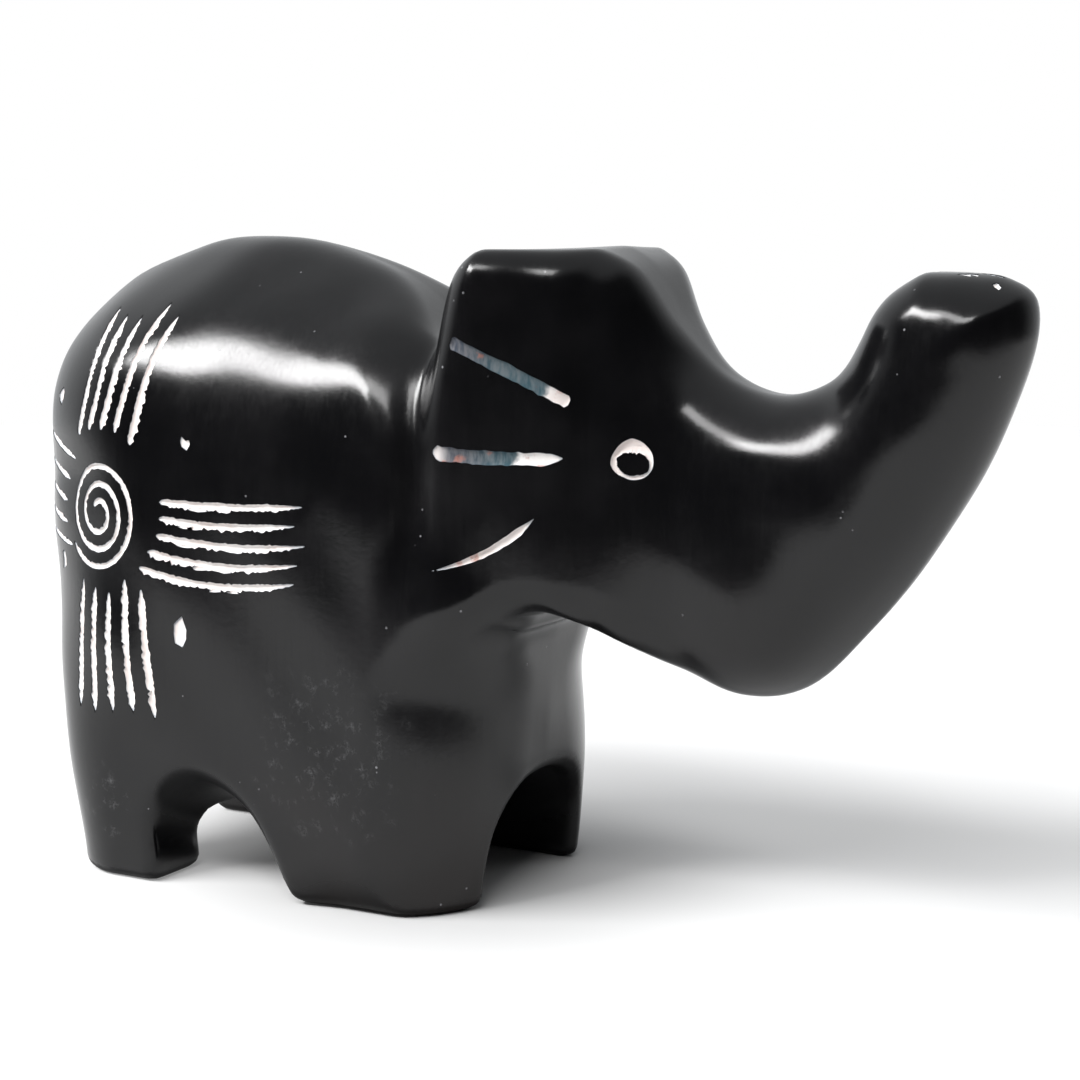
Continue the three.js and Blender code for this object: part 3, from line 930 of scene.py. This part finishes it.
def black_dye():
    m = Nodes("black_dye")
    blotches = m.noise(70, 5, 0.6)
    fine = m.noise(900, 6, 0.7)
    clouds = m.noise(28, 3, 0.5)
    grey = m.mix(m.remap(blotches, 0.35, 0.72), (0.0022, 0.0022, 0.0026), (0.0052, 0.005, 0.0056))
    brown = m.math("MULTIPLY", m.remap(clouds, 0.45, 0.7), m.remap(m.axis(2), 45 * MM, 0.0))
    tone = m.mix(m.math("MULTIPLY", brown, 0.5), grey, (0.011, 0.0068, 0.0055))
    # grey bloom where handling has worn the polish
    bloom = m.math("ADD", m.near((-6, -19.3, 17), 13), m.near((-35, -19, 8.5), 6))
    bloom = m.math("MULTIPLY", bloom, m.remap(m.noise(520, 8, 0.8), 0.52, 0.75))
    tone = m.mix(m.math("MULTIPLY", bloom, 0.6), tone, (0.13, 0.13, 0.135))
    # specks of stone dust
    specks = m.remap(m.cells(640), 0.1, 0.06)
    chosen = m.remap(m.noise(210, 2, 0.5), 0.61, 0.67)
    dust = m.math("MULTIPLY", specks, chosen)
    tone = m.mix(m.math("MULTIPLY", dust, 0.4), tone, (0.4, 0.4, 0.42))
    m.link(tone, m.shader.inputs["Base Color"])
    # sanding: fine scratches, mostly upright
    upright = m.noise(1.0, 3, 0.6, m.stretched(2600, 2600, 140))
    slanted = m.noise(1.0, 3, 0.6, m.stretched(1500, 900, 500))
    wear = m.math("ADD", m.remap(upright, 0.3, 0.8, 0.0, 0.04), m.remap(blotches, 0.35, 0.7, 0.0, 0.07))
    wear = m.math("ADD", wear, m.math("MULTIPLY", bloom, 0.25))
    polish = m.attribute("polish")
    rough = m.math("ADD", wear, m.remap(polish, 0.0, 1.0, 0.5, 0.15))
    m.link(rough, m.shader.inputs["Roughness"])
    m.link(m.remap(polish, 0.0, 1.0, 0.12, 0.4), m.shader.inputs["Specular IOR Level"])
    skin_bump = m.bump(upright, 0.000004, 0.12)
    skin_bump = m.bump(slanted, 0.00001, 0.25, skin_bump)
    skin_bump = m.bump(m.math("ADD", fine, blotches), 0.00003, 0.35, skin_bump)
    m.link(skin_bump, m.shader.inputs["Normal"])
    return m.material


def bare_soapstone():
    m = Nodes("bare_soapstone")
    grain = m.noise(1400, 6, 0.7)
    cloud = m.noise(160, 4, 0.6)
    chalk = m.mix(m.remap(cloud, 0.35, 0.65), (0.86, 0.83, 0.81), (0.78, 0.70, 0.67))
    chalk = m.mix(m.remap(grain, 0.5, 0.75, 0.0, 0.35), chalk, (0.62, 0.58, 0.56))
    # dye that has crept into the edge of each cut
    edge = m.remap(m.attribute("depth"), 0.2, 0.08)
    tone = m.mix(m.math("MULTIPLY", edge, 0.75), chalk, (0.24, 0.29, 0.34))
    # the two upper ear marks are stained blue-grey along most of their length
    x, z = m.axis(0), m.axis(2)
    ragged = m.math("MULTIPLY", m.noise(600, 4, 0.6), 0.002)
    slant = m.math("MULTIPLY", m.math("SUBTRACT", z, 48 * MM), -0.43)
    place = m.math("ADD", m.math("ADD", x, slant), ragged)
    stained = m.remap(place, x_in_frame(15), x_in_frame(14.2))
    begun = m.remap(x, x_in_frame(5.9), x_in_frame(7.6), 0.35, 1.0)
    on_ear = m.math("MULTIPLY", m.remap(z, 45.5 * MM, 47 * MM), m.remap(z, 62.5 * MM, 61 * MM))
    behind_eye = m.remap(x, x_in_frame(20.5), x_in_frame(19.5))
    ear = m.math("MULTIPLY", behind_eye, m.remap(x, x_in_frame(3), x_in_frame(4)))
    share = m.math("MULTIPLY", m.math("MULTIPLY", stained, begun), m.math("MULTIPLY", on_ear, ear))
    streaks = m.remap(m.noise(1.0, 3, 0.6, m.stretched(1900, 500, 500)), 0.35, 0.7, 0.88, 1.0)
    blue = m.mix(m.remap(x, x_in_frame(8), x_in_frame(13)), (0.042, 0.052, 0.07), (0.038, 0.08, 0.1))
    tone = m.mix(m.math("MULTIPLY", share, streaks), tone, blue)
    red = m.math("MULTIPLY", m.remap(m.noise(520, 4, 0.6), 0.56, 0.68), ear)
    tone = m.mix(m.math("MULTIPLY", red, 0.6), tone, (0.42, 0.16, 0.11))
    m.link(tone, m.shader.inputs["Base Color"])
    m.link(m.bump(grain, 0.00005, 0.6), m.shader.inputs["Normal"])
    m.set(Roughness=0.9, Specular_IOR_Level=0.25)
    return m.material


dye, bare = black_dye(), bare_soapstone()
for piece, material, node, slot in [
    (stone, bare, "soapstone_core", "bare_soapstone"),
    (skin, dye, "dyed_skin", "black_dye"),
    (right_pupil, dye, "right_pupil", "black_dye"),
    (left_pupil, dye, "left_pupil", "black_dye"),
]:
    piece.data.materials.clear()
    piece.data.materials.append(material)
    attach(piece, "root")
    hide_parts(node)


# Studio -----------------------------------------------------------------------------------------

FLOOR_RADIUS = 0.4
FLOOR_SET_BACK = 0.22  # how far the floor's middle is behind the object
# The floor glows, which is painted light, and the glow fades out near the object, which is a painted contact
# shadow.
FLOOR_PAINTED_LIGHT = 0.27
PAINTED_SHADOW_REACH = 45  # within this distance of the object, in millimetres, the floor's painted light fades out, which paints a contact shadow
ROOM, BACKDROP, CEILING = 0.03, 0.85, 0.6  # brightness of what surrounds the object
VIEW_AZIMUTH = 27.5  # degrees from straight on to the elephant's right side
VIEW_DROP = 7.8  # degrees that the camera looks down
CAMERA_PLACE = (120.6, -214.9, 70.9)
LENS = 76.67
LAMP_DISTANCE = 2.5
# Each lamp: its name, the direction it stands in, its width and height in metres, and its power.
LAMPS = [("key", (-0.5, -0.55, 0.67), (1.6, 0.55), 84), ("front", (0.05, -0.6, 0.72), (1.75, 0.55), 36)]


def make_floor():
    count = 96
    turn = [2 * math.pi * k / count for k in range(count)]
    heading = math.radians(VIEW_AZIMUTH)
    x, y = -FLOOR_SET_BACK * math.sin(heading), FLOOR_SET_BACK * math.cos(heading)
    rim = [(x + FLOOR_RADIUS * math.cos(a), y + FLOOR_RADIUS * math.sin(a), 0) for a in turn]
    floor = new_object("studio_floor", rim, [range(count)])
    m = Nodes("studio_floor")
    tone = m.mix(m.noise(3, 2, 0.5), (0.54, 0.54, 0.54), (0.56, 0.56, 0.56))
    m.link(tone, m.shader.inputs["Base Color"])
    # painted light on the floor, faded out near the object as a painted contact shadow
    painted_light = m.remap(m.near((0, 0, 0), PAINTED_SHADOW_REACH), 0.0, 1.0, FLOOR_PAINTED_LIGHT, 0.0)
    m.link(painted_light, m.shader.inputs["Emission Strength"])
    m.set(Roughness=0.8, Specular_IOR_Level=0.1, Emission_Color=(1, 1, 1, 1))
    floor.data.materials.append(m.material)


def softbox(name, direction, size, power):
    """A rectangular lamp that looks at the object's middle from a direction."""
    light = bpy.data.lights.new(name, "AREA")
    light.shape = "RECTANGLE"
    light.size, light.size_y = size
    light.energy = power
    lamp = bpy.data.objects.new(name, light)
    away = Vector(direction).normalized()
    lamp.location = (cad_low + cad_high) / 2 + away * LAMP_DISTANCE
    lamp.rotation_euler = away.to_track_quat("Z", "Y").to_euler()
    bpy.context.scene.collection.objects.link(lamp)
    lamp.visible_camera = False


def make_world():
    """White behind the object for the camera; for light and reflections a bright backdrop and a dark room."""
    world = bpy.data.worlds.new("studio")
    bpy.context.scene.world = world
    world.use_nodes = True
    tree = world.node_tree
    tree.nodes.clear()
    new = tree.nodes.new
    path, seen, lit = new("ShaderNodeLightPath"), new("ShaderNodeBackground"), new("ShaderNodeBackground")
    choose, out = new("ShaderNodeMixShader"), new("ShaderNodeOutputWorld")
    coords, split = new("ShaderNodeTexCoord"), new("ShaderNodeSeparateXYZ")
    ahead = new("ShaderNodeVectorMath")
    tree.links.new(coords.outputs["Generated"], split.inputs[0])
    tree.links.new(coords.outputs["Generated"], ahead.inputs[0])
    ahead.operation = "DOT_PRODUCT"
    heading = math.radians(VIEW_AZIMUTH)
    ahead.inputs[1].default_value = (-math.sin(heading), math.cos(heading), 0)

    def fade(value, low, high, to_low, to_high):
        node = new("ShaderNodeMapRange")
        node.interpolation_type = "SMOOTHSTEP"
        tree.links.new(value, node.inputs[0])
        for k, v in enumerate((low, high, to_low, to_high)):
            if hasattr(v, "is_output"):
                tree.links.new(v, node.inputs[k + 1])
            else:
                node.inputs[k + 1].default_value = v
        return node.outputs["Result"]

    around = fade(ahead.outputs["Value"], -0.15, 0.5, ROOM, BACKDROP)
    level = fade(split.outputs["Z"], 0.55, 0.85, around, CEILING)
    tree.links.new(level, lit.inputs["Strength"])
    lit.inputs["Color"].default_value = (0.96, 0.98, 1, 1)
    seen.inputs["Color"].default_value = (1, 1, 1, 1)
    tree.links.new(path.outputs["Is Camera Ray"], choose.inputs[0])
    tree.links.new(lit.outputs[0], choose.inputs[1])
    tree.links.new(seen.outputs[0], choose.inputs[2])
    tree.links.new(choose.outputs[0], out.inputs["Surface"])


def make_camera():
    data = bpy.data.cameras.new("camera")
    data.lens = LENS
    data.clip_start = 0.01
    camera = bpy.data.objects.new("camera", data)
    camera.location = to_frame(CAMERA_PLACE)
    camera.rotation_euler = (math.radians(90 - VIEW_DROP), 0, math.radians(VIEW_AZIMUTH))
    bpy.context.scene.collection.objects.link(camera)
    bpy.context.scene.camera = camera


make_floor()
make_world()
make_camera()
for lamp in LAMPS:
    softbox(*lamp)
bpy.context.scene.view_settings.view_transform = "Standard"
